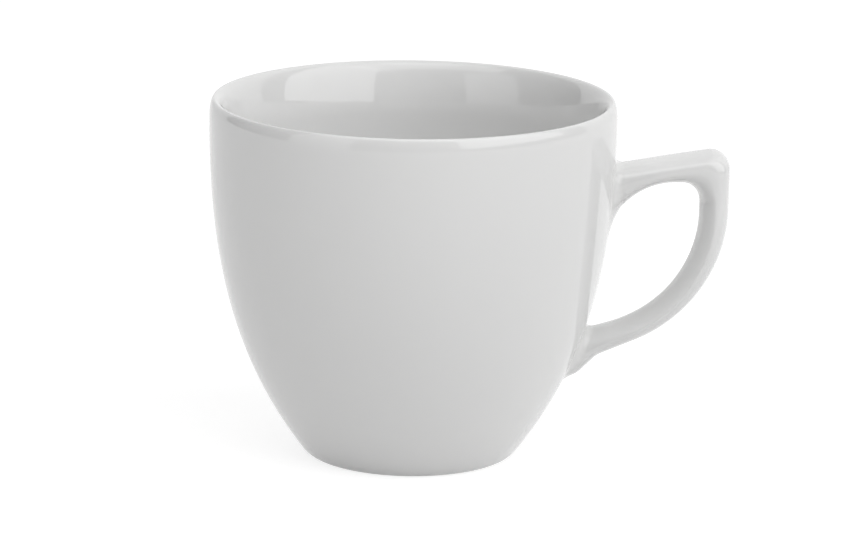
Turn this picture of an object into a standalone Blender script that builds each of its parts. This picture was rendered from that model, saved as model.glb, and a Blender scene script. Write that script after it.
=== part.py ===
"""An espresso cup in glazed porcelain: a turned body and a cast handle, stuck on with clay slip.

Units are metres, +Z is up. The origin is on the table, under the middle of the cup's box.
Sections and outlines are drawn about the cup's axis: x is the distance from it, y the height above the table.
"""

import math

import bmesh
import bpy
from mathutils import Vector
from mathutils.geometry import interpolate_bezier

# Body: outer wall
CUP_HEIGHT = 0.0579
WALL_RADIUS = 0.0325  # widest, just under the lip
WALL_TOP_HEIGHT = 0.0540  # the wall stands upright from here to the lip
WALL_FOOT_RADIUS = 0.0181  # where the wall rises from the rounded foot
WALL_FOOT_HEIGHT = 0.0016
WALL_FOOT_LEAN = math.radians(36.4)
WALL_LOW_PULL = 0.0197  # how strongly the wall keeps its lean above the foot
WALL_HIGH_PULL = 0.0192  # how strongly the wall stays upright below its top

# Body: inside, lip and foot
WALL_THICKNESS = 0.0038
LIP_OUTER_RUN = 0.0010  # from the outer wall in to the lip's crest
LIP_OUTER_DROP = 0.0020  # from the crest down to the upright wall
RIM_TAPER_DEPTH = 0.0110  # the inside leans out to the crest over this depth
RIM_CREST_PULL = 0.0016  # how flat the inside turns over into the crest
RIM_WALL_PULL = 0.0015  # how long the inside still follows the wall
FLOOR_THICKNESS = 0.0042
FLOOR_BEND_RUN = 0.0085  # the soft bend from the floor into the wall: its run along the floor
FLOOR_BEND_RISE = 0.0051  # and its rise up the wall
FOOT_LAND_OUTER = 0.0144
FOOT_LAND_WIDTH = 0.0022
FOOT_RECESS_DEPTH = 0.0015
FOOT_RECESS_RUN = 0.0016  # the soft step from the land in to the recess's roof

# Handle: outer outline, in its own plane
HANDLE_REACH = 0.0506  # outer edge, from the cup's axis
TOP_ARM_HEIGHT = 0.0473  # top edge where it leaves the wall
TOP_ARM_RISE = math.radians(9.15)
TOP_CORNER_RADIUS = 0.0027
SWEEP_RADIUS = 0.0237
LOWER_ARM_RISE = math.radians(22.8)
WAIST_STANDOFF = 0.00333  # from the wall out to where the lower arm turns down into its tail
WAIST_BEND_RADIUS = 0.0047
TAIL_SLOPE = math.radians(46)
TAIL_RISE = 0.00337  # from the tail's toe up to the waist
TAIL_HEIGHT = 0.01288
TAIL_TOE_RADIUS = 0.0018

# Handle: depth of the arm, which leaves the finger gap inside the outer outline
TOP_ARM_DEPTH = 0.00212  # at the wall, from the top edge down to the level of the gap's top
SWEEP_DEPTH = 0.00424  # at the widest reach
LOWER_JOINT_HEIGHT = 0.00717  # from the tail's toe up to the gap's lower edge, on the wall
GAP_WEB_RADIUS = 0.0103  # the wide web under the upper joint
GAP_CORNER_RADIUS = 0.0036
GAP_SWEEP_RADIUS = 0.0197
GAP_LOWER_RISE = math.radians(13.8)

# Handle: section across the arm, a box with soft edges that is rounder on its outer side
TOP_ARM_WIDTH = 0.0100
LOWER_ARM_WIDTH = 0.0086  # at the lower joint
GAP_SIDE_SQUARENESS = 3.6  # 2 is an ellipse, more is nearer a box
TOP_ARM_SQUARENESS = 4.5  # the outer side, along the flat top arm
SWEEP_SQUARENESS = 2.1
LOWER_ARM_SQUARENESS = 2.6

# Joints between handle and body
FILLET_RADIUS = 0.0016
SLIP_THICKNESS = 0.0009
SEAT_GAP = 0.0003  # clear space between touching pieces
JOINT_MARGIN = 0.0060  # how far a slip's cutting ring reaches above and below its joint
BURIED_DEPTH = 0.0025  # how far the handle's shape runs on inside the wall before it is cut

# Fineness
TURN_STEPS = 72
WALL_POINTS = 15
FINE_WALL_POINTS = 200
BEND_POINTS = 7
TAPER_POINTS = 12
OUTLINE_ARC_POINTS = 24
SECTION_POINTS = 20
TOP_ARM_SECTIONS = 14
CORNER_SECTIONS = 16
SWEEP_SECTIONS = 12
LOWER_JOINT_SECTIONS = 12
MERGE_DISTANCE = 1e-6
QUARTER_CIRCLE_PULL = 0.5523  # length of a Bezier handle, for a radius of 1

CUP_AXIS_X = -(HANDLE_REACH - WALL_RADIUS) / 2
GAP_REACH = HANDLE_REACH - SWEEP_DEPTH
GAP_TOP_HEIGHT = TOP_ARM_HEIGHT - TOP_ARM_DEPTH
GAP_LOWER_HEIGHT = TAIL_HEIGHT + LOWER_JOINT_HEIGHT
GLAZE_COLOUR = (0.79, 0.79, 0.78, 1)
GLAZE_ROUGHNESS = 0.08
SLIP_COLOUR = (0.76, 0.76, 0.75, 1)
SLIP_ROUGHNESS = 0.12


def clear_scene():
    """Removes every object, so that the file holds the cup alone."""
    for obj in list(bpy.data.objects):
        bpy.data.objects.remove(obj, do_unlink=True)


def new_collection(name):
    """Adds a collection to the scene and returns it."""
    collection = bpy.data.collections.new(name)
    bpy.context.scene.collection.children.link(collection)
    return collection


def ceramic(name, colour, roughness):
    """A Principled material for a fired clay surface."""
    material = bpy.data.materials.new(name)
    material.use_nodes = True
    shader = material.node_tree.nodes["Principled BSDF"]
    shader.inputs["Base Color"].default_value = colour
    shader.inputs["Roughness"].default_value = roughness
    shader.inputs["Metallic"].default_value = 0.0
    return material


def steps(first, last, count):
    """Evenly spaced values, both ends included."""
    return [first + (last - first) * k / (count - 1) for k in range(count)]


def along(angle):
    """The unit vector at an angle."""
    return Vector((math.cos(angle), math.sin(angle)))


def crossed(first, second):
    """The cross product of two plane vectors."""
    return first.x * second.y - first.y * second.x


def arc(centre, radius, start, end, count):
    """Points on a circle from one angle to another, both ends included."""
    return [centre + along(angle) * radius for angle in steps(start, end, count)]


def rounded_corner(before, corner, after, radius):
    """The arc that rounds a corner between two straight edges, from edge to edge."""
    back = (before - corner).normalized()
    ahead = (after - corner).normalized()
    half = back.angle(ahead) / 2
    centre = corner + (back + ahead).normalized() * (radius / math.sin(half))
    edge = radius / math.tan(half)
    first = corner + back * edge - centre
    last = corner + ahead * edge - centre
    start = math.atan2(first.y, first.x)
    turn = math.copysign(first.angle(last), crossed(first, last))
    return arc(centre, radius, start, start + turn, OUTLINE_ARC_POINTS)


def rounded_outline(start, corners, end):
    """An open outline of straight edges, rounded at its (point, radius) corners."""
    stops = [start] + [point for point, _ in corners] + [end]
    outline = [start]
    for k, (point, radius) in enumerate(corners):
        outline += rounded_corner(stops[k], point, stops[k + 2], radius)
    return outline + [end]


def wall_lean():
    """The direction in which the wall leaves the foot."""
    return Vector((math.sin(WALL_FOOT_LEAN), math.cos(WALL_FOOT_LEAN)))


def wall_curve(count):
    """The body's outer wall from the foot up to its upright top."""
    foot = Vector((WALL_FOOT_RADIUS, WALL_FOOT_HEIGHT))
    top = Vector((WALL_RADIUS, WALL_TOP_HEIGHT))
    low = foot + wall_lean() * WALL_LOW_PULL
    high = top - Vector((0, WALL_HIGH_PULL))
    return interpolate_bezier(foot, low, high, top, count)


FINE_WALL = wall_curve(FINE_WALL_POINTS)


def wall_radius(height):
    """The outer wall's distance from the axis at a height, with its lean carried on below the foot."""
    if height <= WALL_FOOT_HEIGHT:
        return WALL_FOOT_RADIUS - math.tan(WALL_FOOT_LEAN) * (WALL_FOOT_HEIGHT - height)
    for low, high in zip(FINE_WALL, FINE_WALL[1:]):
        if height <= high.y:
            return low.x + (high.x - low.x) * (height - low.y) / (high.y - low.y)
    return WALL_RADIUS


def moved_out(curve, distance):
    """A rising wall curve moved out along its own normals."""
    moved = []
    for k, point in enumerate(curve):
        run = curve[min(k + 1, len(curve) - 1)] - curve[max(k - 1, 0)]
        moved.append(point + Vector((run.y, -run.x)).normalized() * distance)
    return moved


def wall_offset(distance, low, high):
    """The outer wall between two heights, moved out by one distance."""
    stretch = [Vector((wall_radius(height), height)) for height in steps(low, high, WALL_POINTS)]
    return moved_out(stretch, distance)


def body_profile():
    """The cup's half section: from the floor's middle up the inside, over the lip and down the outside."""
    floor_height = FOOT_RECESS_DEPTH + FLOOR_THICKNESS
    outer = wall_curve(WALL_POINTS)

    # The inner wall keeps its distance to the outer one, up to where the rim starts to taper.
    taper_start = CUP_HEIGHT - RIM_TAPER_DEPTH
    bend_top = floor_height + FLOOR_BEND_RISE
    inner = [point for point in moved_out(outer, -WALL_THICKNESS) if bend_top < point.y < taper_start]

    # The floor turns up into the wall along one soft bend.
    bend_start = Vector((inner[0].x - FLOOR_BEND_RUN, floor_height))
    bend_pull = FLOOR_BEND_RUN * QUARTER_CIRCLE_PULL
    floor_side = bend_start + Vector((bend_pull, 0))
    wall_side = inner[0] - (inner[1] - inner[0]).normalized() * bend_pull
    bend = interpolate_bezier(bend_start, floor_side, wall_side, inner[0], BEND_POINTS)

    # The rim tapers on its inside, turns over the crest and drops to the outer wall.
    crest = Vector((WALL_RADIUS - LIP_OUTER_RUN, CUP_HEIGHT))
    taper_foot = Vector((wall_radius(taper_start) - WALL_THICKNESS, taper_start))
    taper_side = taper_foot + (taper_foot - inner[-1]).normalized() * RIM_WALL_PULL
    crest_side = crest - Vector((RIM_CREST_PULL, 0))
    taper = interpolate_bezier(taper_foot, taper_side, crest_side, crest, TAPER_POINTS)
    lip_foot = Vector((WALL_RADIUS, CUP_HEIGHT - LIP_OUTER_DROP))
    over_crest = crest + Vector((LIP_OUTER_RUN * QUARTER_CIRCLE_PULL, 0))
    beside_wall = lip_foot + Vector((0, LIP_OUTER_DROP * QUARTER_CIRCLE_PULL))
    lip = interpolate_bezier(crest, over_crest, beside_wall, lip_foot, BEND_POINTS)

    # The foot's outer edge is rounded from the wall's lean to the flat land.
    land_outer = Vector((FOOT_LAND_OUTER, 0))
    foot_pull = (outer[0] - land_outer).length * QUARTER_CIRCLE_PULL
    lean_side = outer[0] - wall_lean() * foot_pull
    land_side = land_outer + Vector((foot_pull, 0))
    foot_edge = interpolate_bezier(outer[0], lean_side, land_side, land_outer, BEND_POINTS)

    # Inside the land, the underside rises to the recess's roof in one soft step.
    land_inner = land_outer - Vector((FOOT_LAND_WIDTH, 0))
    roof_edge = land_inner + Vector((-FOOT_RECESS_RUN, FOOT_RECESS_DEPTH))
    step_pull = Vector((FOOT_RECESS_RUN / 2, 0))
    land_end = land_inner - step_pull
    roof_start = roof_edge + step_pull
    step = interpolate_bezier(land_inner, land_end, roof_start, roof_edge, BEND_POINTS)

    inside = [Vector((0, floor_height))] + bend + inner[1:] + taper
    outside = lip[1:] + outer[::-1] + foot_edge[1:]
    return inside + outside + step + [Vector((0, FOOT_RECESS_DEPTH))]


def turned(name, profile, collection, closed=False):
    """A profile at +X, spun about the cup's axis by a Screw modifier."""
    mesh = bpy.data.meshes.new(name)
    edges = [(k, k + 1) for k in range(len(profile) - 1)]
    if closed:
        edges.append((len(profile) - 1, 0))
    mesh.from_pydata([(point.x, 0, point.y) for point in profile], edges, [])
    obj = bpy.data.objects.new(name, mesh)
    collection.objects.link(obj)
    screw = obj.modifiers.new("turn", "SCREW")
    screw.axis = "Z"
    screw.steps = TURN_STEPS
    screw.render_steps = TURN_STEPS
    screw.use_merge_vertices = True
    screw.merge_threshold = MERGE_DISTANCE
    screw.use_smooth_shade = True
    return obj


def waist():
    """Where the handle's lower arm turns down into its tail."""
    height = TAIL_HEIGHT + TAIL_RISE
    return Vector((wall_radius(height) + WAIST_STANDOFF, height))


def sweep_corner():
    """Where the handle's upright outer edge and its lower arm would meet, without the sweep between them."""
    return waist() + Vector((1, math.tan(LOWER_ARM_RISE))) * (HANDLE_REACH - waist().x)


def sweep_centre():
    """The middle of the sweep's arc, which touches the upright edge and the lower arm."""
    rounding = SWEEP_RADIUS * math.tan((math.pi / 2 - LOWER_ARM_RISE) / 2)
    return sweep_corner() + Vector((-SWEEP_RADIUS, rounding))


def outer_outline():
    """The handle's outer edge from the wall, over the corner and down the sweep to the tail's toe."""
    root = Vector((wall_radius(TOP_ARM_HEIGHT), TOP_ARM_HEIGHT))
    top_rise = along(TOP_ARM_RISE)
    top_corner = root + top_rise * ((HANDLE_REACH - root.x) / top_rise.x)
    toe = waist() - Vector((1 / math.tan(TAIL_SLOPE), 1)) * TAIL_RISE

    start = root - top_rise * (2 * BURIED_DEPTH)
    end = Vector((wall_radius(TAIL_HEIGHT) - 2 * BURIED_DEPTH, TAIL_HEIGHT))
    corners = [
        (top_corner, TOP_CORNER_RADIUS),
        (sweep_corner(), SWEEP_RADIUS),
        (waist(), WAIST_BEND_RADIUS),
        (toe, TAIL_TOE_RADIUS),
    ]
    return rounded_outline(start, corners, end)


def web_foot():
    """Where the web under the upper joint leaves the wall."""
    height = GAP_TOP_HEIGHT - GAP_WEB_RADIUS
    return Vector((wall_radius(height), height))


def gap_outline():
    """The finger gap's edge from the web on the wall, round under the top arm and down to the lower joint."""
    foot = web_foot()
    lower_root = Vector((wall_radius(GAP_LOWER_HEIGHT), GAP_LOWER_HEIGHT))
    lower_rise = along(GAP_LOWER_RISE)
    lower_corner = lower_root + lower_rise * ((GAP_REACH - lower_root.x) / lower_rise.x)
    start = foot - Vector((0, BURIED_DEPTH))
    end = lower_root - lower_rise * (2 * BURIED_DEPTH)
    corners = [
        (Vector((foot.x, GAP_TOP_HEIGHT)), GAP_WEB_RADIUS),
        (Vector((GAP_REACH, GAP_TOP_HEIGHT)), GAP_CORNER_RADIUS),
        (lower_corner, GAP_SWEEP_RADIUS),
    ]
    return rounded_outline(start, corners, end)


def hit(outline, pivot, direction):
    """Where a ray from the pivot crosses an outline, at the far side of the gap."""
    farthest = 0.0
    for first, second in zip(outline, outline[1:]):
        edge = second - first
        scale = crossed(direction, edge)
        if scale == 0:
            continue
        share = crossed(first - pivot, direction) / scale
        if 0 <= share <= 1:
            farthest = max(farthest, crossed(first - pivot, edge) / scale)
    return pivot + direction * farthest


def section_planes():
    """The planes that cut the handle into sections, each as a pivot in the gap and an angle across the arm.

    They come in four stretches: upright along the top arm, fanned round the corner, fanned round the sweep's
    own centre, and fanned again until they lie along the wall at the lower joint.
    """
    foot = web_foot()
    corner_pivot = Vector((GAP_REACH - GAP_CORNER_RADIUS, GAP_TOP_HEIGHT - GAP_CORNER_RADIUS))
    upright = math.pi / 2
    first = foot.x + SEAT_GAP / 2
    top_arm = [(Vector((x, foot.y)), upright) for x in steps(first, corner_pivot.x, TOP_ARM_SECTIONS)]
    corner = [(corner_pivot, angle) for angle in steps(upright, 0, CORNER_SECTIONS)[1:-1]]

    # The sweep's fan starts where the corner's fan ends on the gap's outer side.
    centre = sweep_centre()
    sweep_start = math.atan2(corner_pivot.y - centre.y, GAP_REACH - centre.x)
    sweep_end = LOWER_ARM_RISE - upright
    sweep = [(centre, angle) for angle in steps(sweep_start, sweep_end, SWEEP_SECTIONS)]

    # The last fan turns about the point where the sweep's last plane meets the wall's own line.
    upper = Vector((wall_radius(GAP_LOWER_HEIGHT), GAP_LOWER_HEIGHT))
    wall_line = Vector((wall_radius(TAIL_HEIGHT), TAIL_HEIGHT)) - upper
    last = along(sweep_end)
    joint_pivot = centre + last * (crossed(upper - centre, wall_line) / crossed(last, wall_line))
    wall_angle = math.atan2(wall_line.y, wall_line.x)
    lower_joint = [(joint_pivot, angle) for angle in steps(sweep_end, wall_angle, LOWER_JOINT_SECTIONS)[1:]]
    return top_arm, corner, sweep, lower_joint


def flare(clear):
    """How far the joint's fillet stands out from the arm, at a distance from the wall."""
    clear = max(clear, SEAT_GAP)
    if clear >= FILLET_RADIUS:
        return 0.0
    return FILLET_RADIUS - math.sqrt(FILLET_RADIUS**2 - (FILLET_RADIUS - clear) ** 2)


def soft_box(value, squareness):
    """Pushes a sine or cosine out towards a box's side."""
    return math.copysign(abs(value) ** (2 / squareness), value)


def eased(value):
    """Rises softly from 0 to 1 as a value does, and stays level outside."""
    share = min(max(value, 0.0), 1.0)
    return share * share * (3 - 2 * share)


def section_form(stage):
    """The arm's width and its outer side's squareness.

    The stage runs up to 1 along the top arm, to 2 round the corner, to 3 down the sweep and to 4 at the wall.
    """
    width = TOP_ARM_WIDTH + (LOWER_ARM_WIDTH - TOP_ARM_WIDTH) * eased((stage - 1) / 3)
    squareness = TOP_ARM_SQUARENESS + (SWEEP_SQUARENESS - TOP_ARM_SQUARENESS) * eased(stage - 1)
    squareness += (LOWER_ARM_SQUARENESS - SWEEP_SQUARENESS) * eased(stage - 3)
    return width, squareness


def section(inner, outer, width, outer_squareness):
    """One closed loop round the arm between its inner and outer edge, flared out where it nears the wall."""
    middle = (inner + outer) / 2
    half = (outer - inner) / 2
    loop = []
    for angle in steps(0, 2 * math.pi, SECTION_POINTS + 1)[:-1]:
        squareness = outer_squareness if math.cos(angle) > 0 else GAP_SIDE_SQUARENESS
        across = soft_box(math.cos(angle), squareness)
        aside = soft_box(math.sin(angle), squareness)
        place = middle + half * across
        grown = flare(math.hypot(place.x, aside * width / 2) - wall_radius(place.y))
        place += half.normalized() * (grown * across)
        loop.append(Vector((place.x, aside * (width / 2 + grown), place.y)))
    return loop


def handle_mesh():
    """The handle's whole shape, lofted through its sections and running on inside the wall at both ends."""
    outer = outer_outline()
    gap = gap_outline()
    sections = []
    for stretch, planes in enumerate(section_planes()):
        for k, (pivot, angle) in enumerate(planes, start=1):
            width, squareness = section_form(stretch + k / len(planes))
            direction = along(angle)
            inner_edge = hit(gap, pivot, direction)
            outer_edge = hit(outer, pivot, direction)
            sections.append(section(inner_edge, outer_edge, width, squareness))
    inward = Vector((-BURIED_DEPTH, 0, 0))
    sections.insert(0, [point + inward for point in sections[0]])
    sections.append([point + inward for point in sections[-1]])

    shape = bmesh.new()
    loops = [[shape.verts.new(point) for point in points] for points in sections]
    for first, second in zip(loops, loops[1:]):
        for k in range(SECTION_POINTS):
            following = (k + 1) % SECTION_POINTS
            shape.faces.new((first[k], first[following], second[following], second[k]))
    shape.faces.new(loops[0])
    shape.faces.new(loops[-1])
    bmesh.ops.recalc_face_normals(shape, faces=shape.faces)
    mesh = bpy.data.meshes.new("handle")
    shape.to_mesh(mesh)
    shape.free()
    mesh.shade_smooth()
    return mesh


def piece(name, mesh, collection):
    """A named object for a mesh."""
    obj = bpy.data.objects.new(name, mesh)
    collection.objects.link(obj)
    return obj


def cut(obj, cutter, operation):
    """Adds an exact Boolean to an object, and keeps its cutter out of the finished model."""
    boolean = obj.modifiers.new(cutter.name, "BOOLEAN")
    boolean.object = cutter
    boolean.operation = operation
    boolean.solver = "EXACT"
    cutter.hide_render = True
    cutter.display_type = "WIRE"


def build():
    """Makes the cup: its body, its handle and the slip in the two joints."""
    clear_scene()
    cup = new_collection("espresso_cup")
    cutters = new_collection("cutters")
    glaze = ceramic("glazed_porcelain", GLAZE_COLOUR, GLAZE_ROUGHNESS)
    slip = ceramic("glazed_slip", SLIP_COLOUR, SLIP_ROUGHNESS)

    body = turned("cup_body", body_profile(), cup)
    body.data.materials.append(glaze)

    # The handle ends just off the slip's outer face, which follows the wall.
    shape = handle_mesh()
    slip_face = SEAT_GAP + SLIP_THICKNESS
    seat = wall_offset(slip_face + SEAT_GAP, 0, CUP_HEIGHT)
    seat_top = Vector((0, seat[-1].y))
    seat_bottom = Vector((0, seat[0].y))
    seat_cutter = turned("handle_seat", [seat_top] + seat[::-1] + [seat_bottom], cutters)
    handle = piece("handle", shape.copy(), cup)
    handle.data.materials.append(glaze)
    cut(handle, seat_cutter, "DIFFERENCE")

    # Each slip is the slice of the handle's flared shape that lies just off the wall.
    joints = {
        "upper_luting_slip": (web_foot().y, TOP_ARM_HEIGHT),
        "lower_luting_slip": (TAIL_HEIGHT, GAP_LOWER_HEIGHT),
    }
    for name, (low, high) in joints.items():
        near = wall_offset(SEAT_GAP, low - JOINT_MARGIN, high + JOINT_MARGIN)
        far = wall_offset(slip_face, low - JOINT_MARGIN, high + JOINT_MARGIN)
        ring = turned(name + "_ring", far[::-1] + near, cutters, closed=True)
        wafer = piece(name, shape.copy(), cup)
        wafer.data.materials.append(slip)
        cut(wafer, ring, "INTERSECT")

    axis = bpy.data.objects.new("cup_axis", None)
    axis.location.x = CUP_AXIS_X
    for obj in list(cup.objects) + list(cutters.objects):
        obj.parent = axis
    cup.objects.link(axis)


build()
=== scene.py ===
"""Dresses an espresso cup: a glazed body, a cast handle and the slip collars in its two joints.

Units are metres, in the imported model's frame: +Z up, the handle towards +X, the foot on the table at z = 0.
Sections and outlines are drawn about the cup's axis: x is the distance from it, y the height off the table.
"""

import logging
import math
from bisect import bisect_right
from dataclasses import dataclass, field
from enum import Enum, IntEnum
from itertools import accumulate

import bmesh
import bpy
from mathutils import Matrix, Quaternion, Vector
from mathutils.geometry import interpolate_bezier


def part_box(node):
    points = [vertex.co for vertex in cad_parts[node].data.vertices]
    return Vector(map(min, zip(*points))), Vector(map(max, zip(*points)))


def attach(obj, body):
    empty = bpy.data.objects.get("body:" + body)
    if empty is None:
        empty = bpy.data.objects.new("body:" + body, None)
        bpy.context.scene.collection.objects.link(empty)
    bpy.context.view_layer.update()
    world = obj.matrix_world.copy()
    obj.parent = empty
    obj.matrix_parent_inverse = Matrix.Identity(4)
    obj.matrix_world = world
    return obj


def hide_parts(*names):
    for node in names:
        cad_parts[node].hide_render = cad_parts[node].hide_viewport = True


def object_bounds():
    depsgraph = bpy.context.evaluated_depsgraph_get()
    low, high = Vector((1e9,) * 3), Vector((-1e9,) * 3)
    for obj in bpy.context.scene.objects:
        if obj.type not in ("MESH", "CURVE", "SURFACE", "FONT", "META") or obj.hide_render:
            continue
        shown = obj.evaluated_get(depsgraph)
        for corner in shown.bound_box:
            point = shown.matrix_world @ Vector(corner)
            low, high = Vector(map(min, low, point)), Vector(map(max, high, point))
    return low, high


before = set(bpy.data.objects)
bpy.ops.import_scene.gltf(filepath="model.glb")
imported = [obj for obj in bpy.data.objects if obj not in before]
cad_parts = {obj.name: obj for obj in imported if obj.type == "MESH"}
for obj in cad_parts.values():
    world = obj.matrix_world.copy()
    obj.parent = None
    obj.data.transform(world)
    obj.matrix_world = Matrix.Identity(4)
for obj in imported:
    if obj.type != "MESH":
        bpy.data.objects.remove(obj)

log = logging.getLogger("espresso_cup")

Colour = tuple[float, float, float, float]

CAD_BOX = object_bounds()
BODY = "root"
CREASE_SHADE = "crease_shade"  # the mesh attribute that paints shade into the middles of the slip fillets
MERGE_DISTANCE = 1e-7
QUARTER_CIRCLE_PULL = 0.5523  # length of a Bezier handle, for a radius of 1


class Stage(IntEnum):
    """The ends of the handle's four stretches, counted along the arm."""

    UPPER_JOINT = 0
    CORNER_START = 1
    CORNER_END = 2
    SWEEP_END = 3
    LOWER_JOINT = 4


class Joint(Enum):
    """The two places where the handle is stuck to the wall."""

    UPPER = "upper"
    LOWER = "lower"

    @property
    def stage(self) -> Stage:
        """Where the joint lies in the count along the arm."""
        return Stage.UPPER_JOINT if self is Joint.UPPER else Stage.LOWER_JOINT


def steps(first: float, last: float, count: int) -> list[float]:
    """Evenly spaced values.

    Args:
        first: The first value.
        last: The last value, which is included.
        count: How many values there are.

    Returns:
        The values in order.
    """
    return [first + (last - first) * k / (count - 1) for k in range(count)]


def eased(value: float) -> float:
    """Rises softly from 0 to 1 as a value does, and stays level outside."""
    share = min(max(value, 0.0), 1.0)
    return share * share * (3 - 2 * share)


def along(angle: float) -> Vector:
    """The unit vector at an angle in a drawing."""
    return Vector((math.cos(angle), math.sin(angle)))


def crossed(first: Vector, second: Vector) -> float:
    """The cross product of two vectors in a drawing."""
    return first.x * second.y - first.y * second.x


def rounded_corner(before: Vector, corner: Vector, after: Vector, radius: float, count: int) -> list[Vector]:
    """The arc that rounds a corner between two straight edges.

    Args:
        before: A point on the edge that leads to the corner.
        corner: The sharp corner.
        after: A point on the edge that leaves it.
        radius: The arc's radius.
        count: How many points the arc has.

    Returns:
        The arc's points from edge to edge.
    """
    back = (before - corner).normalized()
    ahead = (after - corner).normalized()
    half = back.angle(ahead) / 2
    centre = corner + (back + ahead).normalized() * (radius / math.sin(half))
    edge = radius / math.tan(half)
    first = corner + back * edge - centre
    last = corner + ahead * edge - centre
    start = math.atan2(first.y, first.x)
    turn = math.copysign(first.angle(last), crossed(first, last))
    return [centre + along(angle) * radius for angle in steps(start, start + turn, count)]


def finished_piece(name: str, shape: bmesh.types.BMesh) -> bpy.types.Object:
    """Turns a finished bmesh into an object at the origin and frees it.

    Args:
        name: The piece's name.
        shape: The mesh, already in its place.

    Returns:
        The new object.
    """
    mesh = bpy.data.meshes.new(name)
    shape.to_mesh(mesh)
    shape.free()
    piece = bpy.data.objects.new(name, mesh)
    bpy.context.scene.collection.objects.link(piece)
    return piece


@dataclass
class Wall:
    """The line of the body's outer wall, from the rounded foot to its upright top.

    Attributes:
        radius: The widest radius, just under the lip.
        top_height: From here to the lip the wall stands upright.
        foot_radius: Where the wall rises from the rounded foot.
        foot_height: The height of that place.
        foot_lean: The wall's lean there.
        low_pull: How strongly the wall keeps its lean above the foot.
        high_pull: How strongly the wall stays upright below its top.
        fineness: How many points the line has.
    """

    radius: float
    top_height: float = 0.0540
    foot_radius: float = 0.0181
    foot_height: float = 0.0016
    foot_lean: float = math.radians(36.4)
    low_pull: float = 0.0197
    high_pull: float = 0.0192
    fineness: int = 400
    line: list[Vector] = field(init=False)

    def __post_init__(self) -> None:
        """Draws the line once, for every later question about it."""
        self.line = self.curve(self.fineness)

    def rise(self) -> Vector:
        """The direction in which the wall leaves the foot."""
        return Vector((math.sin(self.foot_lean), math.cos(self.foot_lean)))

    def curve(self, count: int) -> list[Vector]:
        """The line with a chosen number of points, from the foot upwards."""
        foot = Vector((self.foot_radius, self.foot_height))
        top = Vector((self.radius, self.top_height))
        low = foot + self.rise() * self.low_pull
        high = top - Vector((0, self.high_pull))
        return interpolate_bezier(foot, low, high, top, count)

    def span(self, height: float) -> tuple[Vector, Vector]:
        """The two neighbouring points of the line about a height."""
        above = bisect_right(self.line, height, lo=1, hi=self.fineness - 1, key=lambda point: point.y)
        return self.line[above - 1], self.line[above]

    def radius_at(self, height: float) -> float:
        """The wall's distance from the axis at a height."""
        low, high = self.span(height)
        if height >= self.top_height:
            return self.radius
        return low.x + (high.x - low.x) * (height - low.y) / (high.y - low.y)

    def upright_share(self, height: float) -> float:
        """The cosine of the wall's lean at a height."""
        low, high = self.span(height)
        return (high - low).normalized().y

    def clearance(self, point: Vector) -> float:
        """How far a point in the handle's plane lies off the wall."""
        return (point.x - self.radius_at(point.y)) * self.upright_share(point.y)


@dataclass
class Outline:
    """An open line in the handle's plane, walked by its length.

    Attributes:
        points: The line's points, from the upper joint round to the lower one.
        bends: For each rounded corner, where in the points its arc starts and ends.
    """

    points: list[Vector]
    bends: list[tuple[int, int]]
    lengths: list[float] = field(init=False)

    def __post_init__(self) -> None:
        """Measures the length up to each point."""
        runs = [(second - first).length for first, second in zip(self.points, self.points[1:])]
        self.lengths = list(accumulate(runs, initial=0.0))

    def at(self, length: float) -> Vector:
        """The point that lies one length along the line."""
        ahead = bisect_right(self.lengths, length, lo=1, hi=len(self.lengths) - 1)
        before, after = self.lengths[ahead - 1], self.lengths[ahead]
        return self.points[ahead - 1].lerp(self.points[ahead], (length - before) / (after - before))

    def nearest(self, target: Vector) -> float:
        """The length at the line's point that is nearest to a target."""
        closest = min(range(len(self.points)), key=lambda k: (self.points[k] - target).length)
        return self.lengths[closest]

    def near_wall(self, wall: Wall, clearance: float, joint: Joint) -> float:
        """Where the line comes within a clearance of the wall, on its way into a joint.

        Args:
            wall: The body's wall.
            clearance: The distance off the wall.
            joint: The joint that the line runs into.

        Returns:
            The length along the line.
        """
        middle = len(self.points) // 2
        end, toward = (0, -1) if joint is Joint.UPPER else (len(self.points) - 1, 1)
        for k in range(middle, end, toward):
            here = wall.clearance(self.points[k])
            there = wall.clearance(self.points[k + toward])
            if there <= clearance < here:
                share = (here - clearance) / (here - there)
                return self.lengths[k] + (self.lengths[k + toward] - self.lengths[k]) * share
        raise ValueError("the line never comes that near to the wall")


def rounded_outline(start: Vector, corners: list[tuple[Vector, float]], end: Vector, count: int) -> Outline:
    """An open outline of straight edges with rounded corners.

    Args:
        start: The first point.
        corners: Each corner's point and radius.
        end: The last point.
        count: How many points each arc has.

    Returns:
        The outline.
    """
    stops = [start] + [point for point, _ in corners] + [end]
    points = [start]
    bends = []
    for k, (point, radius) in enumerate(corners):
        arc = rounded_corner(stops[k], point, stops[k + 2], radius, count)
        bends.append((len(points), len(points) + count - 1))
        points += arc
    return Outline(points + [end], bends)


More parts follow.
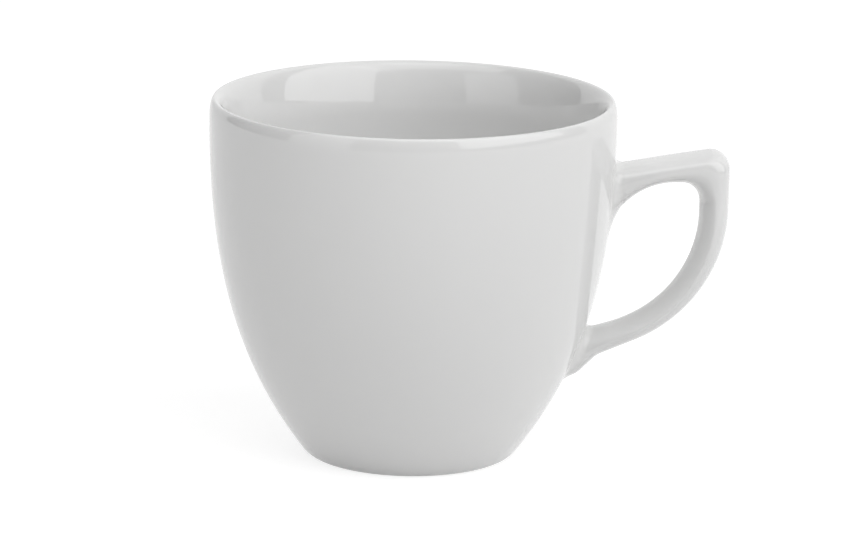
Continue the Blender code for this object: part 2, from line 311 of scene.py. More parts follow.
@dataclass(frozen=True)
class Glaze:
    """A clear gloss glaze on white porcelain, with a wiped bare foot and painted shade in the slip fillets.

    Attributes:
        name: The material's name.
        cloud_and_shade_colour: The darker white of the glaze's faint clouds, and of the painted shade in the
            middles of the slip fillets.
        colour: The glazed white where the glaze lies thin.
        bare_colour: The unglazed clay of the wiped foot.
        gloss: The glaze's roughness.
        dull: The bare clay's roughness.
        refraction: The glaze's index of refraction.
        cloud_size: How wide the faint clouds in the glaze are.
        cloud_detail: How many finer layers the clouds have.
        ripple_size: How wide the glaze's slow ripples are.
        ripple_detail: How many finer layers the ripples have.
        ripple_height: How high the ripples are.
        wiped_height: The glaze ends this far above the table.
        wiped_fade: The height over which it fades out.
    """

    name: str
    cloud_and_shade_colour: Colour
    colour: Colour = (0.79, 0.79, 0.785, 1)
    bare_colour: Colour = (0.74, 0.72, 0.69, 1)
    gloss: float = 0.05
    dull: float = 0.6
    refraction: float = 1.5
    cloud_size: float = 0.020
    cloud_detail: float = 3.0
    ripple_size: float = 0.007
    ripple_detail: float = 2.0
    ripple_height: float = 0.000012
    wiped_height: float = 0.00010
    wiped_fade: float = 0.00010

    def material(self) -> bpy.types.Material:
        """Makes the glaze's node material.

        Returns:
            The material.
        """
        material = bpy.data.materials.new(self.name)
        material.use_nodes = True
        tree = material.node_tree
        shader = tree.nodes["Principled BSDF"]
        shader.inputs["IOR"].default_value = self.refraction
        place = tree.nodes.new("ShaderNodeTexCoord")

        clouds = self.noise(tree, place, self.cloud_size, self.cloud_detail)
        # Painted shade: the crease attribute darkens the middle of each slip fillet towards the darker white.
        crease_shade = tree.nodes.new("ShaderNodeAttribute")
        crease_shade.attribute_name = CREASE_SHADE
        cloud_and_shade = tree.nodes.new("ShaderNodeMath")
        cloud_and_shade.operation = "MAXIMUM"
        tree.links.new(clouds.outputs["Fac"], cloud_and_shade.inputs[0])
        tree.links.new(crease_shade.outputs["Fac"], cloud_and_shade.inputs[1])
        glazed = self.mixed(tree, cloud_and_shade.outputs["Value"], self.colour, self.cloud_and_shade_colour)

        bare = self.bare_share(tree, place)
        colour = tree.nodes.new("ShaderNodeMix")
        colour.data_type = "RGBA"
        tree.links.new(bare, colour.inputs["Factor"])
        tree.links.new(glazed, colour.inputs["A"])
        colour.inputs["B"].default_value = self.bare_colour
        tree.links.new(colour.outputs["Result"], shader.inputs["Base Color"])

        rough = tree.nodes.new("ShaderNodeMapRange")
        rough.inputs["To Min"].default_value = self.gloss
        rough.inputs["To Max"].default_value = self.dull
        tree.links.new(bare, rough.inputs["Value"])
        tree.links.new(rough.outputs["Result"], shader.inputs["Roughness"])

        ripples = self.noise(tree, place, self.ripple_size, self.ripple_detail)
        relief = tree.nodes.new("ShaderNodeBump")
        relief.inputs["Strength"].default_value = 1.0
        relief.inputs["Distance"].default_value = self.ripple_height
        tree.links.new(ripples.outputs["Fac"], relief.inputs["Height"])
        tree.links.new(relief.outputs["Normal"], shader.inputs["Normal"])
        return material

    def noise(
        self, tree: bpy.types.NodeTree, place: bpy.types.Node, size: float, detail: float
    ) -> bpy.types.Node:
        """Adds a soft noise of a real size.

        Args:
            tree: The material's nodes.
            place: The node that gives Object coordinates.
            size: How wide one cloud of the noise is.
            detail: How many finer layers it has.

        Returns:
            The noise node.
        """
        node = tree.nodes.new("ShaderNodeTexNoise")
        node.inputs["Scale"].default_value = 1 / size
        node.inputs["Detail"].default_value = detail
        tree.links.new(place.outputs["Object"], node.inputs["Vector"])
        return node

    def mixed(
        self, tree: bpy.types.NodeTree, share: bpy.types.NodeSocket, first: Colour, second: Colour
    ) -> bpy.types.NodeSocket:
        """Mixes two colours.

        Args:
            tree: The material's nodes.
            share: The socket that gives the second colour's share.
            first: The first colour.
            second: The second colour.

        Returns:
            The socket with the mixed colour.
        """
        node = tree.nodes.new("ShaderNodeMix")
        node.data_type = "RGBA"
        node.inputs["A"].default_value = first
        node.inputs["B"].default_value = second
        tree.links.new(share, node.inputs["Factor"])
        return node.outputs["Result"]

    def bare_share(self, tree: bpy.types.NodeTree, place: bpy.types.Node) -> bpy.types.NodeSocket:
        """Finds the wiped ring by its height above the table.

        Args:
            tree: The material's nodes.
            place: The node that gives Object coordinates.

        Returns:
            The socket that is 1 on bare clay and 0 on glaze.
        """
        parts = tree.nodes.new("ShaderNodeSeparateXYZ")
        tree.links.new(place.outputs["Object"], parts.inputs["Vector"])
        fade = tree.nodes.new("ShaderNodeMapRange")
        fade.inputs["From Min"].default_value = self.wiped_height
        fade.inputs["From Max"].default_value = self.wiped_height + self.wiped_fade
        fade.inputs["To Min"].default_value = 1.0
        fade.inputs["To Max"].default_value = 0.0
        tree.links.new(parts.outputs["Z"], fade.inputs["Value"])
        return fade.outputs["Result"]


@dataclass
class CupBody:
    """The turned bowl with its wall, lip, floor and foot ring.

    Attributes:
        wall: The line of its outer wall.
        axis_x: The place of the bowl's axis along X.
        height: From the table to the lip's crest.
        thickness: The wall's thickness.
        lip_run: From the outer wall in to the lip's crest.
        lip_drop: From the crest down to the upright wall.
        taper_depth: The inside leans out to the crest over this depth.
        crest_pull: How flat the inside turns over into the crest.
        taper_pull: How long the inside still follows the wall.
        floor_thickness: The floor's thickness.
        floor_bend_run: The soft bend from the floor into the wall: its run along the floor.
        floor_bend_rise: And its rise up the wall.
        land_outer: The outer radius of the flat ring that it stands on.
        land_width: The ring's width.
        recess_depth: How far the middle is raised off the table.
        recess_run: The soft step from the ring in to the recess's roof.
        wall_points: How many points the wall's line has.
        bend_points: How many points each bend has.
        taper_points: How many points the rim's taper has.
        turn_steps: How many steps the spin has.
    """

    wall: Wall
    axis_x: float
    height: float
    thickness: float = 0.0038
    lip_run: float = 0.0008
    lip_drop: float = 0.0028
    taper_depth: float = 0.0078
    crest_pull: float = 0.0015
    taper_pull: float = 0.0030
    floor_thickness: float = 0.0042
    floor_bend_run: float = 0.0085
    floor_bend_rise: float = 0.0051
    land_outer: float = 0.0144
    land_width: float = 0.0022
    recess_depth: float = 0.0015
    recess_run: float = 0.0016
    wall_points: int = 90
    bend_points: int = 24
    taper_points: int = 40
    turn_steps: int = 256

    def crest(self) -> Vector:
        """The lip's highest point in the section."""
        return Vector((self.wall.radius - self.lip_run, self.height))

    def inner_wall(self) -> list[Vector]:
        """The inner wall, which keeps its distance to the outer one between the floor's bend and the rim."""
        low = self.recess_depth + self.floor_thickness + self.floor_bend_rise
        high = self.height - self.taper_depth
        outer = self.wall.curve(self.wall_points)
        inner = []
        for before, point, after in zip(outer, outer[1:], outer[2:]):
            run = after - before
            moved = point - Vector((run.y, -run.x)).normalized() * self.thickness
            if low < moved.y < high:
                inner.append(moved)
        return inner

    def inside(self) -> list[Vector]:
        """The section's inner side, from the floor's middle up to the lip's crest.

        Returns:
            The points in order.
        """
        inner = self.inner_wall()
        floor_height = self.recess_depth + self.floor_thickness
        bend_start = Vector((inner[0].x - self.floor_bend_run, floor_height))
        pull = self.floor_bend_run * QUARTER_CIRCLE_PULL
        floor_side = bend_start + Vector((pull, 0))
        wall_side = inner[0] - (inner[1] - inner[0]).normalized() * pull
        bend = interpolate_bezier(bend_start, floor_side, wall_side, inner[0], self.bend_points)

        crest = self.crest()
        taper_side = inner[-1] + (inner[-1] - inner[-2]).normalized() * self.taper_pull
        crest_side = crest - Vector((self.crest_pull, 0))
        taper = interpolate_bezier(inner[-1], taper_side, crest_side, crest, self.taper_points)
        return [Vector((0, floor_height))] + bend + inner[1:-1] + taper

    def outside(self) -> list[Vector]:
        """The section's outer side, from below the lip's crest down to the flat ring.

        Returns:
            The points in order.
        """
        crest = self.crest()
        lip_foot = Vector((self.wall.radius, self.height - self.lip_drop))
        over_crest = crest + Vector((self.lip_run * QUARTER_CIRCLE_PULL, 0))
        beside_wall = lip_foot + Vector((0, self.lip_drop * QUARTER_CIRCLE_PULL))
        lip = interpolate_bezier(crest, over_crest, beside_wall, lip_foot, self.bend_points)

        wall = self.wall.curve(self.wall_points)[::-1]
        land = Vector((self.land_outer, 0))
        pull = (wall[-1] - land).length * QUARTER_CIRCLE_PULL
        lean_side = wall[-1] - self.wall.rise() * pull
        land_side = land + Vector((pull, 0))
        edge = interpolate_bezier(wall[-1], lean_side, land_side, land, self.bend_points)
        return lip[1:] + wall + edge[1:]

    def underside(self) -> list[Vector]:
        """The section's underside, from the flat ring's inner edge up a soft step to the recess's middle.

        Returns:
            The points in order.
        """
        ring = Vector((self.land_outer - self.land_width, 0))
        roof = ring + Vector((-self.recess_run, self.recess_depth))
        pull = Vector((self.recess_run / 2, 0))
        step = interpolate_bezier(ring, ring - pull, roof + pull, roof, self.bend_points)
        return step + [Vector((0, self.recess_depth))]

    def build(self) -> bpy.types.Object:
        """Spins the section about the bowl's axis.

        Returns:
            The body's object.
        """
        shape = bmesh.new()
        section = self.inside() + self.outside() + self.underside()
        points = [shape.verts.new((self.axis_x + point.x, 0, point.y)) for point in section]
        edges = [shape.edges.new(pair) for pair in zip(points, points[1:])]
        bmesh.ops.spin(
            shape,
            geom=points + edges,
            cent=(self.axis_x, 0, 0),
            axis=(0, 0, 1),
            angle=2 * math.pi,
            steps=self.turn_steps,
            use_merge=True,
        )
        bmesh.ops.remove_doubles(shape, verts=shape.verts, dist=MERGE_DISTANCE)
        bmesh.ops.recalc_face_normals(shape, faces=shape.faces)
        for face in shape.faces:
            face.smooth = True
        return finished_piece("glazed_body", shape)

    def dress(self, piece: bpy.types.Object, glaze: bpy.types.Material) -> None:
        """Gives the body its glaze and its place in the model.

        Args:
            piece: The body's object.
            glaze: The porcelain's glaze.
        """
        piece.data.materials.append(glaze)
        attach(piece, BODY)
        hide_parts("cup_body")


@dataclass
class CastHandle:
    """The solid cast handle and the slip collars at its two ends, lofted through sections across the arm.

    Attributes:
        wall: The line of the body's outer wall.
        axis_x: The place of the bowl's axis along X.
        reach: The outer edge's distance from the axis.
        top_height: The top edge's height where it leaves the wall.
        top_rise: The top arm's rise.
        top_corner_radius: The outer corner's rounding.
        sweep_radius: The long outer sweep.
        lower_rise: The lower arm's rise.
        waist_standoff: From the wall out to where the lower arm turns down into its tail.
        waist_radius: The bend there.
        tail_slope: The tail's slope.
        tail_rise: From the tail's toe up to the waist.
        tail_height: The height of the tail's toe.
        toe_radius: The toe's rounding.
        top_depth: At the wall, from the top edge down to the level of the gap's top.
        sweep_depth: The arm's depth at its widest reach.
        lower_joint_height: From the tail's toe up to the gap's lower edge, on the wall.
        web_radius: The wide web under the upper joint.
        gap_corner_radius: The gap's outer corner.
        gap_sweep_radius: The gap's long sweep.
        gap_lower_rise: The rise of the gap's lower edge.
        top_width: The top arm's width.
        lower_width: The width at the lower joint.
        outer_squareness: The section's outer side along the top arm, down the sweep and at the lower joint:
            2 is an ellipse, more is nearer a box, less is nearer a wedge.
        gap_squareness: The same for its side towards the gap.
        gap_bulge: How far that side's middle stands out into the gap, at the same three places.
        fillet_radius: The slip's fillet between the arm and the wall.
        sunk_depth: How far a collar's last loop sinks into the wall.
        buried_depth: How far the outlines run on inside the wall.
        arc_points: How many points each rounded corner has.
        section_points: How many points each loop round the arm has.
        stretch_sections: How many loops the top arm, the corner, the sweep and the lower arm have.
        fillet_loops: How many loops each fillet has.
    """

    wall: Wall
    axis_x: float
    reach: float
    top_height: float = 0.0473
    top_rise: float = math.radians(9.15)
    top_corner_radius: float = 0.0027
    sweep_radius: float = 0.0237
    lower_rise: float = math.radians(22.8)
    waist_standoff: float = 0.00333
    waist_radius: float = 0.0047
    tail_slope: float = math.radians(46)
    tail_rise: float = 0.00337
    tail_height: float = 0.01288
    toe_radius: float = 0.0018
    top_depth: float = 0.00212
    sweep_depth: float = 0.00424
    lower_joint_height: float = 0.00717
    web_radius: float = 0.0103
    gap_corner_radius: float = 0.0036
    gap_sweep_radius: float = 0.0197
    gap_lower_rise: float = math.radians(13.8)
    top_width: float = 0.0100
    lower_width: float = 0.0086
    outer_squareness: tuple[float, float, float] = (3.2, 2.0, 2.2)
    gap_squareness: tuple[float, float, float] = (2.4, 1.5, 2.2)
    gap_bulge: tuple[float, float, float] = (0.0002, 0.00045, 0.00025)
    fillet_radius: float = 0.0016
    sunk_depth: float = 0.0004
    buried_depth: float = 0.0050
    arc_points: int = 160
    section_points: int = 72
    stretch_sections: tuple[int, int, int, int] = (44, 36, 64, 44)
    fillet_loops: int = 16
    outer: Outline = field(init=False)
    gap: Outline = field(init=False)
    stations: list[tuple[Vector, Vector, float]] = field(init=False)

    def __post_init__(self) -> None:
        """Draws the two outlines and the sections' places once."""
        self.outer = self.outer_outline()
        self.gap = self.gap_outline()
        self.stations = self.paired_stations()

    def on_wall(self, height: float) -> Vector:
        """The wall's point at a height, in the handle's plane."""
        return Vector((self.wall.radius_at(height), height))

    def outer_outline(self) -> Outline:
        """The outer edge from the wall, over the corner and down the sweep to the tail's toe.

        Returns:
            The outline, which starts and ends inside the wall.
        """
        root = self.on_wall(self.top_height)
        top_rise = along(self.top_rise)
        top_corner = root + top_rise * ((self.reach - root.x) / top_rise.x)
        waist = self.on_wall(self.tail_height + self.tail_rise) + Vector((self.waist_standoff, 0))
        sweep_corner = waist + Vector((1, math.tan(self.lower_rise))) * (self.reach - waist.x)
        toe = waist - Vector((1 / math.tan(self.tail_slope), 1)) * self.tail_rise
        corners = [
            (top_corner, self.top_corner_radius),
            (sweep_corner, self.sweep_radius),
            (waist, self.waist_radius),
            (toe, self.toe_radius),
        ]
        end = self.on_wall(self.tail_height) - Vector((self.buried_depth, 0))
        return rounded_outline(root - top_rise * self.buried_depth, corners, end, self.arc_points)

    def gap_outline(self) -> Outline:
        """The finger gap's edge from the web on the wall, round under the top arm to the lower joint.

        Returns:
            The outline, which starts on the wall and ends inside it.
        """
        top = self.top_height - self.top_depth
        foot = self.on_wall(top - self.web_radius)
        reach = self.reach - self.sweep_depth
        lower_root = self.on_wall(self.tail_height + self.lower_joint_height)
        lower_rise = along(self.gap_lower_rise)
        lower_corner = lower_root + lower_rise * ((reach - lower_root.x) / lower_rise.x)
        corners = [
            (Vector((foot.x, top)), self.web_radius),
            (Vector((reach, top)), self.gap_corner_radius),
            (lower_corner, self.gap_sweep_radius),
        ]
        end = lower_root - lower_rise * self.buried_depth
        return rounded_outline(foot - Vector((0, self.buried_depth)), corners, end, self.arc_points)

    def off_wall(self, clearance: float, joint: Joint) -> tuple[float, float]:
        """Where both edges come within a clearance of the wall at a joint.

        Args:
            clearance: The distance off the wall.
            joint: The joint.

        Returns:
            The lengths along the gap's edge and along the outer edge.
        """
        inner = self.gap.near_wall(self.wall, clearance, joint)
        outer = self.outer.near_wall(self.wall, clearance, joint)
        return inner, outer

    def paired_stations(self) -> list[tuple[Vector, Vector, float]]:
        """Pairs points of the gap's edge with points of the outer edge, all round the arm.

        The first pairs lie at the fillets, at both ends of the gap's corner and at the sweep's end. Between
        them both edges are walked in even steps.

        Returns:
            Each section's inner and outer point, and its stage, which counts these four stretches up.
        """
        gap, outer = self.gap, self.outer
        _, (corner_start, corner_end), _ = gap.bends
        _, (_, sweep_end), _, _ = outer.bends
        ends = {
            Stage.UPPER_JOINT: self.off_wall(self.fillet_radius, Joint.UPPER),
            Stage.CORNER_START: (gap.lengths[corner_start], outer.nearest(gap.points[corner_start])),
            Stage.CORNER_END: (gap.lengths[corner_end], outer.nearest(gap.points[corner_end])),
            Stage.SWEEP_END: (gap.nearest(outer.points[sweep_end]), outer.lengths[sweep_end]),
            Stage.LOWER_JOINT: self.off_wall(self.fillet_radius, Joint.LOWER),
        }
        stations = []
        for first, second, count in zip(Stage, list(Stage)[1:], self.stretch_sections):
            inner_lengths = steps(ends[first][0], ends[second][0], count + 1)
            outer_lengths = steps(ends[first][1], ends[second][1], count + 1)
            stages = steps(first, second, count + 1)
            walked = list(zip(inner_lengths, outer_lengths, stages))
            stations += [(gap.at(inner), outer.at(outward), stage) for inner, outward, stage in walked[1:]]
        return stations[:-1]

    def led(self, values: tuple[float, float, float], stage: float) -> float:
        """Leads a measure of the section along the arm.

        Args:
            values: The measure along the top arm, down the sweep and at the lower joint.
            stage: The place in the count along the arm.

        Returns:
            The measure there.
        """
        top, sweep, lower = values
        past_top = eased(stage - Stage.CORNER_START)
        past_sweep = eased(stage - Stage.SWEEP_END)
        return top + (sweep - top) * past_top + (lower - sweep) * past_sweep

    def bulged(self, inner: Vector, outer: Vector, stage: float) -> Vector:
        """Moves a point of the gap's edge out into the gap, away from the outer edge."""
        return inner + (inner - outer).normalized() * self.led(self.gap_bulge, stage)

    def arm_width(self, stage: float) -> float:
        """The arm's width at a place in the count, narrowing from the corner to the lower joint."""
        share = (stage - Stage.CORNER_START) / (Stage.LOWER_JOINT - Stage.CORNER_START)
        return self.top_width + (self.lower_width - self.top_width) * eased(share)

    def ring(self, shape: bmesh.types.BMesh, stage: float) -> list[tuple[bmesh.types.BMVert, float, float]]:
        """Adds a loose ring of vertices and squares it up.

        Args:
            shape: The mesh that gets the ring.
            stage: The place in the count along the arm.

        Returns:
            Each vertex with its share across the arm, from -1 at the gap to 1 at the outer edge, and aside.
        """
        outer_power = 2 / self.led(self.outer_squareness, stage)
        gap_power = 2 / self.led(self.gap_squareness, stage)
        made = bmesh.ops.create_circle(shape, cap_ends=False, segments=self.section_points, radius=1.0)
        ring = []
        for vertex in made["verts"]:
            power = outer_power if vertex.co.y > 0 else gap_power
            across = math.copysign(abs(vertex.co.y) ** power, vertex.co.y)
            aside = math.copysign(abs(vertex.co.x) ** power, vertex.co.x)
            ring.append((vertex, across, aside))
        return ring

    def arm_loop(self, shape: bmesh.types.BMesh, index: int) -> list[bmesh.types.BMVert]:
        """Adds the loop round the arm at one station.

        Args:
            shape: The mesh that gets the loop.
            index: The station's number.

        Returns:
            The loop's vertices in order.
        """
        inner, outer, stage = self.stations[index]
        inner = self.bulged(inner, outer, stage)
        width = self.arm_width(stage)
        middle = (inner + outer) / 2
        half = (outer - inner) / 2
        ring = self.ring(shape, stage)
        for vertex, across, aside in ring:
            place = middle + half * across
            vertex.co = (self.axis_x + place.x, aside * width / 2, place.y)
        return [vertex for vertex, _, _ in ring]

    def fillet_loop(
        self, shape: bmesh.types.BMesh, joint: Joint, turn: float, sunk: float = 0.0
    ) -> list[bmesh.types.BMVert]:
        """Adds a loop of a joint's fillet, which lies off the wall at one distance all round.

        Args:
            shape: The mesh that gets the loop.
            joint: The joint.
            turn: The fillet's angle: 0 where it leaves the arm, a right angle where it meets the wall.
            sunk: How far the loop is sunk towards the axis.

        Returns:
            The loop's vertices in order.
        """
        clear = self.fillet_radius * (1 - math.sin(turn))
        grown = self.fillet_radius * (1 - math.cos(turn))
        inner_length, outer_length = self.off_wall(clear, joint)
        outer = self.outer.at(outer_length)
        inner = self.bulged(self.gap.at(inner_length), outer, joint.stage)
        half_width = self.arm_width(joint.stage) / 2
        middle = (inner.y + outer.y) / 2
        half = (outer.y - inner.y) / 2
        half += math.copysign(grown * self.wall.upright_share(middle), half)
        ring = self.ring(shape, joint.stage)
        crease_shade = shape.verts.layers.float.get(CREASE_SHADE)
        for vertex, across, aside in ring:
            height = middle + half * across
            radius = self.wall.radius_at(height) + clear / self.wall.upright_share(height) - sunk
            sideways = aside * (half_width + grown)
            vertex.co = (self.axis_x + math.sqrt(radius**2 - sideways**2), sideways, height)
            # Painted shade, deepest halfway round the fillet, in the crease where the arm meets the wall.
            if crease_shade:
                vertex[crease_shade] = math.sin(2 * turn)
        return [vertex for vertex, _, _ in ring]

    def lofted(
        self, name: str, shape: bmesh.types.BMesh, loops: list[list[bmesh.types.BMVert]]
    ) -> bpy.types.Object:
        """Bridges loops into one closed, smooth piece with flat ends.

        Args:
            name: The piece's name.
            shape: The mesh that holds the loops.
            loops: The loops in order, each as its vertices.

        Returns:
            The piece's object.
        """
        rims = []
        for loop in loops:
            vertices = set(loop)
            rims.append([edge for edge in shape.edges if vertices.issuperset(edge.verts)])
        for first, second in zip(rims, rims[1:]):
            bmesh.ops.bridge_loops(shape, edges=first + second)
        for face in shape.faces:
            face.smooth = True
        ends = rims[0] + rims[-1]
        bmesh.ops.holes_fill(shape, edges=ends, sides=0)
        for edge in ends:
            edge.smooth = False
        bmesh.ops.recalc_face_normals(shape, faces=shape.faces)
        return finished_piece(name, shape)

    def build_arm(self) -> bpy.types.Object:
        """Lofts the cast handle between the two fillets.

        Returns:
            The handle's object.
        """
        shape = bmesh.new()
        loops = [self.fillet_loop(shape, Joint.UPPER, 0)]
        loops += [self.arm_loop(shape, k) for k in range(len(self.stations))]
        loops.append(self.fillet_loop(shape, Joint.LOWER, 0))
        return self.lofted("cast_handle", shape, loops)

    def build_collar(self, joint: Joint) -> bpy.types.Object:
        """Lofts one joint's slip collar, from the arm out to the wall.

        Args:
            joint: The joint.

        Returns:
            The collar's object.
        """
        shape = bmesh.new()
        # The collar carries the painted shade of its fillet.
        shape.verts.layers.float.new(CREASE_SHADE)
        turns = steps(0, math.pi / 2, self.fillet_loops)
        loops = [self.fillet_loop(shape, joint, turn) for turn in turns]
        loops.append(self.fillet_loop(shape, joint, turns[-1], self.sunk_depth))
        return self.lofted(f"{joint.value}_slip_collar", shape, loops)

    def dress_arm(self, piece: bpy.types.Object, glaze: bpy.types.Material) -> None:
        """Gives the handle its glaze and its place in the model.

        Args:
            piece: The handle's object.
            glaze: The porcelain's glaze.
        """
        piece.data.materials.append(glaze)
        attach(piece, BODY)
        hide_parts("handle")

    def dress_collar(self, piece: bpy.types.Object, glaze: bpy.types.Material, joint: Joint) -> None:
        """Gives a collar its glaze and its place in the model.

        Args:
            piece: The collar's object.
            glaze: The slip's glaze.
            joint: The collar's joint.
        """
        piece.data.materials.append(glaze)
        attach(piece, BODY)
        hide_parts(f"{joint.value}_luting_slip")


def bare_material(name: str) -> bpy.types.Material:
    """Makes a node material that has no surface yet.

    Args:
        name: The material's name.

    Returns:
        The material.
    """
    material = bpy.data.materials.new(name)
    material.use_nodes = True
    tree = material.node_tree
    tree.nodes.remove(tree.nodes["Principled BSDF"])
    return material


def matt(tree: bpy.types.NodeTree, shade: float) -> bpy.types.NodeSocket:
    """Adds a matt grey surface.

    Args:
        tree: The material's nodes.
        shade: How light the grey is.

    Returns:
        The socket with the surface.
    """
    node = tree.nodes.new("ShaderNodeBsdfDiffuse")
    node.inputs["Color"].default_value = (shade, shade, shade, 1)
    return node.outputs["BSDF"]


@dataclass(frozen=True)
class Softbox:
    """A large soft lamp beside or over the cup.

    Attributes:
        name: The lamp's name.
        place: Its middle, measured from where the bowl's axis meets the table.
        aim: The direction in which it shines.
        width: Its width.
        height: Its height.
        brightness: How bright its face is, where 1 is the white of the background.
    """

    name: str
    place: tuple[float, float, float]
    aim: tuple[float, float, float]
    width: float
    height: float
    brightness: float

    def build(self, axis_x: float) -> bpy.types.Object:
        """Hangs the lamp.

        Args:
            axis_x: The place of the bowl's axis along X.

        Returns:
            The lamp's object.
        """
        lamp = bpy.data.lights.new(self.name, "AREA")
        lamp.shape = "RECTANGLE"
        lamp.size = self.width
        lamp.size_y = self.height
        lamp.energy = self.brightness * math.pi * self.width * self.height
        hung = bpy.data.objects.new(self.name, lamp)
        hung.location = Vector((axis_x, 0, 0)) + Vector(self.place)
        hung.rotation_mode = "QUATERNION"
        hung.rotation_quaternion = Vector(self.aim).to_track_quat("-Z", "Y")
        bpy.context.scene.collection.objects.link(hung)
        return hung


@dataclass(frozen=True)
class DarkScreen:
    """The dark studio round the cup: a tall round screen, open at the top and towards the white behind.

    Attributes:
        radius: The screen's distance from the cup.
        height: Its height.
        left_end: The angle round the cup where it ends at the left: 0 is straight in front of the cup.
        right_end: The angle where it ends on the handle's side.
        shade: How dark it is.
        turn_steps: How many flat strips it has.
    """

    radius: float = 2.6
    height: float = 5.6
    left_end: float = math.radians(-128)
    right_end: float = math.radians(112)
    shade: float = 0.03
    turn_steps: int = 30

    def build(self, axis_x: float) -> bpy.types.Object:
        """Stands the screen round the cup, where the camera does not see it.

        Args:
            axis_x: The place of the bowl's axis along X.

        Returns:
            The screen's object.
        """
        x = axis_x + math.sin(self.left_end) * self.radius
        y = -math.cos(self.left_end) * self.radius
        shape = bmesh.new()
        post = [shape.verts.new((x, y, 0)), shape.verts.new((x, y, self.height))]
        bmesh.ops.spin(
            shape,
            geom=post + [shape.edges.new(post)],
            cent=(axis_x, 0, 0),
            axis=(0, 0, 1),
            angle=self.right_end - self.left_end,
            steps=self.turn_steps,
        )
        piece = finished_piece("dark_screen", shape)
        material = bare_material("dark_cloth")
        tree = material.node_tree
        tree.links.new(matt(tree, self.shade), tree.nodes["Material Output"].inputs["Surface"])
        piece.data.materials.append(material)
        piece.visible_camera = False
        return piece


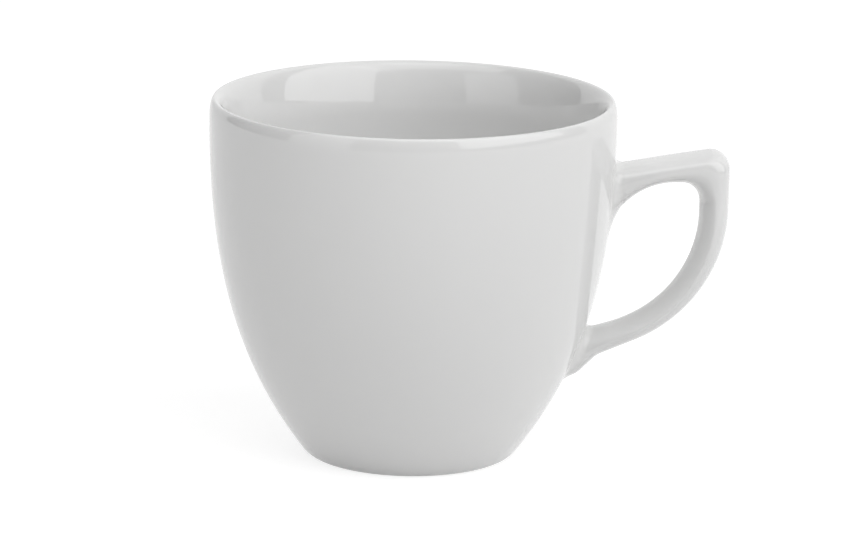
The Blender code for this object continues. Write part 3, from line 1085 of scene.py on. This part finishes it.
@dataclass
class Studio:
    """The white floor, the white surroundings, the dark screen, the softboxes and the camera.

    Attributes:
        axis_x: The place of the bowl's axis along X.
        middle_height: Half the cup's height, which the camera's distance and angle are given for.
        frame_width: The picture's width in pixels.
        frame_height: The picture's height in pixels.
        axis_pixel: Where the middle of the bowl's axis falls in the picture.
        pixel_size: How large one pixel is at that place.
        view_length: The camera's distance from there, in pixels.
        view_elevation: How far the camera looks down.
        view_roll: How far the camera is turned about its line of sight.
        sensor_width: The camera's sensor, in millimetres.
        floor_radius: How far the floor reaches.
        floor_sides: How many sides its round edge has.
        floor_shade: The floor's grey for the light that it gives back.
        floor_glow: How white the floor looks without any light on it.
        floor_share: How much the light and the cup's shadow change that.
        surround_light: How much light the white surroundings give.
    """

    axis_x: float
    middle_height: float
    frame_width: float = 855.0
    frame_height: float = 535.0
    axis_pixel: tuple[float, float] = (411.65, 274.7)
    pixel_size: float = 0.0001608
    view_length: float = 4000.0
    view_elevation: float = math.radians(13.92)
    view_roll: float = math.radians(0.7)
    sensor_width: float = 36.0
    floor_radius: float = 4.0
    floor_sides: int = 64
    floor_shade: float = 0.82
    floor_glow: float = 0.80
    floor_share: float = 0.35
    surround_light: float = 0.5

    def camera(self) -> bpy.types.Object:
        """Sets up the camera at the picture's angle.

        Returns:
            The camera's object.
        """
        lens = bpy.data.cameras.new("camera")
        lens.sensor_fit = "HORIZONTAL"
        lens.sensor_width = self.sensor_width
        lens.lens = self.sensor_width * self.view_length / self.frame_width
        camera = bpy.data.objects.new("camera", lens)
        back = Vector((0, -math.cos(self.view_elevation), math.sin(self.view_elevation)))
        target = Vector((self.axis_x, 0, self.middle_height))
        camera.location = target + back * (self.view_length * self.pixel_size)
        off_x = self.axis_pixel[0] - self.frame_width / 2
        off_y = self.axis_pixel[1] - self.frame_height / 2
        turn = Quaternion((0, 1, 0), math.atan(off_x / self.view_length))
        tilt = Quaternion((1, 0, 0), math.atan(off_y / self.view_length))
        roll = Quaternion((0, 0, 1), self.view_roll)
        camera.rotation_mode = "QUATERNION"
        camera.rotation_quaternion = back.to_track_quat("Z", "Y") @ turn @ tilt @ roll
        bpy.context.scene.collection.objects.link(camera)
        bpy.context.scene.camera = camera
        return camera

    def seen_share(self, tree: bpy.types.NodeTree) -> bpy.types.NodeSocket:
        """Tells the rays that see the background from those that only carry light.

        Args:
            tree: The nodes of a material or of the world.

        Returns:
            The socket that is 1 for camera, glossy and transmission rays.
        """
        path = tree.nodes.new("ShaderNodeLightPath")
        seen = path.outputs["Is Camera Ray"]
        for kind in ("Is Glossy Ray", "Is Transmission Ray"):
            either = tree.nodes.new("ShaderNodeMath")
            either.operation = "MAXIMUM"
            tree.links.new(seen, either.inputs[0])
            tree.links.new(path.outputs[kind], either.inputs[1])
            seen = either.outputs["Value"]
        return seen

    def surroundings(self) -> None:
        """Makes the world white to the eye, and gives it a plain even light."""
        world = bpy.data.worlds.new("surroundings")
        bpy.context.scene.world = world
        world.use_nodes = True
        tree = world.node_tree
        light = tree.nodes["Background"]
        light.inputs["Color"].default_value = (1, 1, 1, 1)
        light.inputs["Strength"].default_value = self.surround_light
        white = tree.nodes.new("ShaderNodeBackground")
        white.inputs["Color"].default_value = (1, 1, 1, 1)
        white.inputs["Strength"].default_value = 1.0
        mixed = tree.nodes.new("ShaderNodeMixShader")
        tree.links.new(self.seen_share(tree), mixed.inputs["Fac"])
        tree.links.new(light.outputs["Background"], mixed.inputs[1])
        tree.links.new(white.outputs["Background"], mixed.inputs[2])
        tree.links.new(mixed.outputs["Shader"], tree.nodes["World Output"].inputs["Surface"])

    def floor(self) -> bpy.types.Object:
        """Lays the pale floor, which looks white and keeps the cup's soft shadow.

        Returns:
            The floor's object.
        """
        shape = bmesh.new()
        bmesh.ops.create_circle(shape, cap_ends=True, segments=self.floor_sides, radius=self.floor_radius)
        piece = finished_piece("floor", shape)
        material = bare_material("pale_floor")
        tree = material.node_tree
        glow = tree.nodes.new("ShaderNodeEmission")
        glow.inputs["Strength"].default_value = self.floor_glow
        white = tree.nodes.new("ShaderNodeAddShader")
        tree.links.new(matt(tree, self.floor_share), white.inputs[0])
        tree.links.new(glow.outputs["Emission"], white.inputs[1])
        mixed = tree.nodes.new("ShaderNodeMixShader")
        tree.links.new(self.seen_share(tree), mixed.inputs["Fac"])
        tree.links.new(matt(tree, self.floor_shade), mixed.inputs[1])
        tree.links.new(white.outputs["Shader"], mixed.inputs[2])
        tree.links.new(mixed.outputs["Shader"], tree.nodes["Material Output"].inputs["Surface"])
        piece.data.materials.append(material)
        return piece

    def lamps(self) -> list[bpy.types.Object]:
        """Hangs the softboxes at the front right, at the front left and overhead.

        Returns:
            The lamps' objects.
        """
        right = Softbox(
            name="right_softbox",
            place=(0.90, -0.91, 1.09),
            aim=(-1, 0, 0),
            width=1.88,
            height=1.83,
            brightness=2.11,
        )
        left = Softbox(
            name="left_softbox",
            place=(-0.88, -0.66, 0.50),
            aim=(0.8, 0.6, 0),
            width=0.74,
            height=0.94,
            brightness=1.21,
        )
        top = Softbox(
            name="top_softbox",
            place=(-0.15, -0.50, 1.20),
            aim=(0.12, 0.40, -1),
            width=1.6,
            height=0.8,
            brightness=1.69,
        )
        return [box.build(self.axis_x) for box in (right, left, top)]

    def build(self) -> None:
        """Sets up everything round the cup."""
        bpy.context.scene.view_settings.view_transform = "Standard"
        self.camera()
        self.surroundings()
        self.floor()
        DarkScreen().build(self.axis_x)
        self.lamps()


def main() -> None:
    """Builds and dresses the cup, then sets up the studio round it."""
    logging.basicConfig(level=logging.INFO, format="%(name)s: %(message)s")
    low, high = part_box("cup_body")
    axis_x = (low[0] + high[0]) / 2
    wall = Wall(radius=(high[0] - low[0]) / 2)
    porcelain = Glaze("glazed_porcelain", cloud_and_shade_colour=(0.77, 0.77, 0.768, 1)).material()
    # The slip's darker white is also the painted shade in the fillets' middles.
    slip = Glaze("glazed_slip", cloud_and_shade_colour=(0.76, 0.76, 0.755, 1)).material()

    body = CupBody(wall=wall, axis_x=axis_x, height=high[2])
    bowl = body.build()
    body.dress(bowl, porcelain)

    handle = CastHandle(wall=wall, axis_x=axis_x, reach=CAD_BOX[1][0] - axis_x)
    arm = handle.build_arm()
    handle.dress_arm(arm, porcelain)
    pieces = [bowl, arm]
    for joint in Joint:
        collar = handle.build_collar(joint)
        handle.dress_collar(collar, slip, joint)
        pieces.append(collar)
    for piece in pieces:
        log.info("%s: %d faces", piece.name, len(piece.data.polygons))

    Studio(axis_x=axis_x, middle_height=high[2] / 2).build()


if __name__ == "__main__":
    main()
